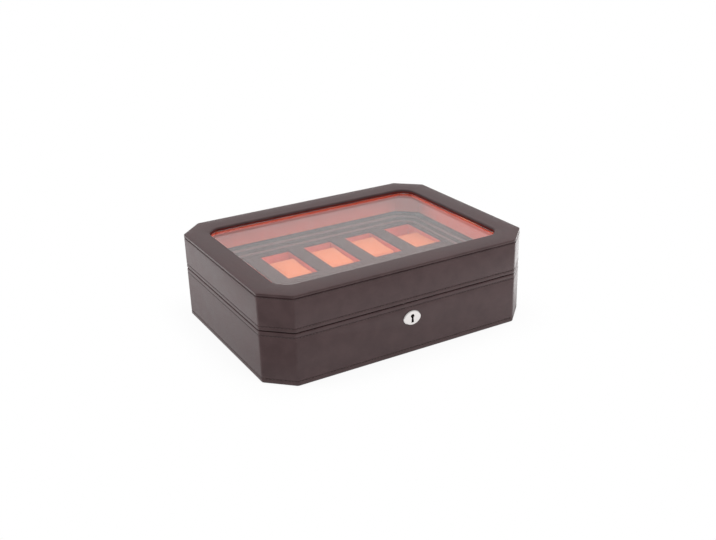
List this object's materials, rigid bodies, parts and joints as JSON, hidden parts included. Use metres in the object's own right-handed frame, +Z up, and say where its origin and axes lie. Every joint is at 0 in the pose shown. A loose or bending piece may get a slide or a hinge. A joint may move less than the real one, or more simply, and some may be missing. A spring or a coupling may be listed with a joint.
{
  "type": "watch box with drawer",
  "caption": "Leather-covered watch box with cut-off corners, a glass lid on back hinges, lined cells with padded watch pillows, a keyhole lock and a drawer in one end.",
  "frame": {"origin": "centre of the underside, on the surface that the box stands on", "axes": "+X along the front to the drawer's end, +Y to the hinges at the back, +Z up"},
  "size_m": [0.367, 0.2787, 0.1084],
  "materials": {
    "brown_leather": "smooth brown leather, satin",
    "orange_lining": "matt brushed lining",
    "pillow_cover": "soft padded cover",
    "board": "stained board",
    "glass": "clear float glass",
    "polished_chrome": "polished",
    "lock_steel": "plain steel",
    "underside_felt": "matt felt"
  },
  "bodies": {
    "base": {"base_front_board": "board", "base_back_board": "board", "base_left_board": "board", "base_right_board": "board", "base_corner_boards": "board", "base_leather": "brown_leather", "base_bottom_board": "board", "base_underside_pad": "underside_felt", "drawer_guides": "board", "runner_strips": "board", "divider_board": "board", "base_inner_frame": "board", "base_lip_lining": "orange_lining", "watch_tray_panel": "brown_leather", "cell_liners_front": "orange_lining", "cell_liners_rear": "orange_lining", "hinge_left_base_leaf": "polished_chrome", "hinge_right_base_leaf": "polished_chrome", "hinge_pins": "polished_chrome", "base_hinge_screws": "polished_chrome", "keyhole_escutcheon": "polished_chrome", "lock_case": "lock_steel", "lock_drill_pin": "lock_steel", "lock_selvedge_plate": "polished_chrome", "lock_screws": "polished_chrome"},
    "lid": {"lid_front_board": "board", "lid_back_board": "board", "lid_side_boards": "board", "lid_corner_boards": "board", "lid_top_frame": "board", "lid_side_leather": "brown_leather", "lid_top_leather": "brown_leather", "window_lining": "orange_lining", "lid_glass": "glass", "glass_retainer": "orange_lining", "lid_wall_lining": "orange_lining", "hinge_left_lid_leaf": "polished_chrome", "hinge_right_lid_leaf": "polished_chrome", "lid_hinge_screws": "polished_chrome", "lid_hasp": "polished_chrome", "hasp_screws": "polished_chrome"},
    "drawer": {"drawer_front_board": "board", "drawer_front_leather": "brown_leather", "drawer_sides": "board", "drawer_inner_end": "board", "drawer_bottom": "board", "drawer_lining": "orange_lining", "drawer_dividers": "orange_lining", "drawer_pull_tab": "brown_leather"},
    "bolt": {"lock_bolt": "lock_steel"},
    "pillow_front_1": {"pillow_front_1": "pillow_cover"},
    "pillow_front_2": {"pillow_front_2": "pillow_cover"},
    "pillow_front_3": {"pillow_front_3": "pillow_cover"},
    "pillow_front_4": {"pillow_front_4": "pillow_cover"},
    "pillow_front_5": {"pillow_front_5": "pillow_cover"},
    "pillow_rear_1": {"pillow_rear_1": "pillow_cover"},
    "pillow_rear_2": {"pillow_rear_2": "pillow_cover"},
    "pillow_rear_3": {"pillow_rear_3": "pillow_cover"},
    "pillow_rear_4": {"pillow_rear_4": "pillow_cover"},
    "pillow_rear_5": {"pillow_rear_5": "pillow_cover"}
  },
  "joints": [
    {"name": "lid_hinge", "type": "hinge", "parent": "base", "child": "lid", "pos_m": [0, 0.1386, 0.064], "axis": [-1, 0, 0], "range_deg": [0, 98]},
    {"name": "drawer_slide", "type": "slide", "parent": "base", "child": "drawer", "axis": [1, 0, 0], "range_m": [0, 0.23]},
    {"name": "bolt_slide", "type": "slide", "parent": "base", "child": "bolt", "axis": [1, 0, 0], "range_m": [0, 0.0034]},
    {"name": "pillow_front_1_lift", "type": "slide", "parent": "base", "child": "pillow_front_1", "axis": [0, 0, 1], "range_m": [0, 0.035]},
    {"name": "pillow_front_2_lift", "type": "slide", "parent": "base", "child": "pillow_front_2", "axis": [0, 0, 1], "range_m": [0, 0.035]},
    {"name": "pillow_front_3_lift", "type": "slide", "parent": "base", "child": "pillow_front_3", "axis": [0, 0, 1], "range_m": [0, 0.035]},
    {"name": "pillow_front_4_lift", "type": "slide", "parent": "base", "child": "pillow_front_4", "axis": [0, 0, 1], "range_m": [0, 0.035]},
    {"name": "pillow_front_5_lift", "type": "slide", "parent": "base", "child": "pillow_front_5", "axis": [0, 0, 1], "range_m": [0, 0.035]},
    {"name": "pillow_rear_1_lift", "type": "slide", "parent": "base", "child": "pillow_rear_1", "axis": [0, 0, 1], "range_m": [0, 0.035]},
    {"name": "pillow_rear_2_lift", "type": "slide", "parent": "base", "child": "pillow_rear_2", "axis": [0, 0, 1], "range_m": [0, 0.035]},
    {"name": "pillow_rear_3_lift", "type": "slide", "parent": "base", "child": "pillow_rear_3", "axis": [0, 0, 1], "range_m": [0, 0.035]},
    {"name": "pillow_rear_4_lift", "type": "slide", "parent": "base", "child": "pillow_rear_4", "axis": [0, 0, 1], "range_m": [0, 0.035]},
    {"name": "pillow_rear_5_lift", "type": "slide", "parent": "base", "child": "pillow_rear_5", "axis": [0, 0, 1], "range_m": [0, 0.035]}
  ]
}
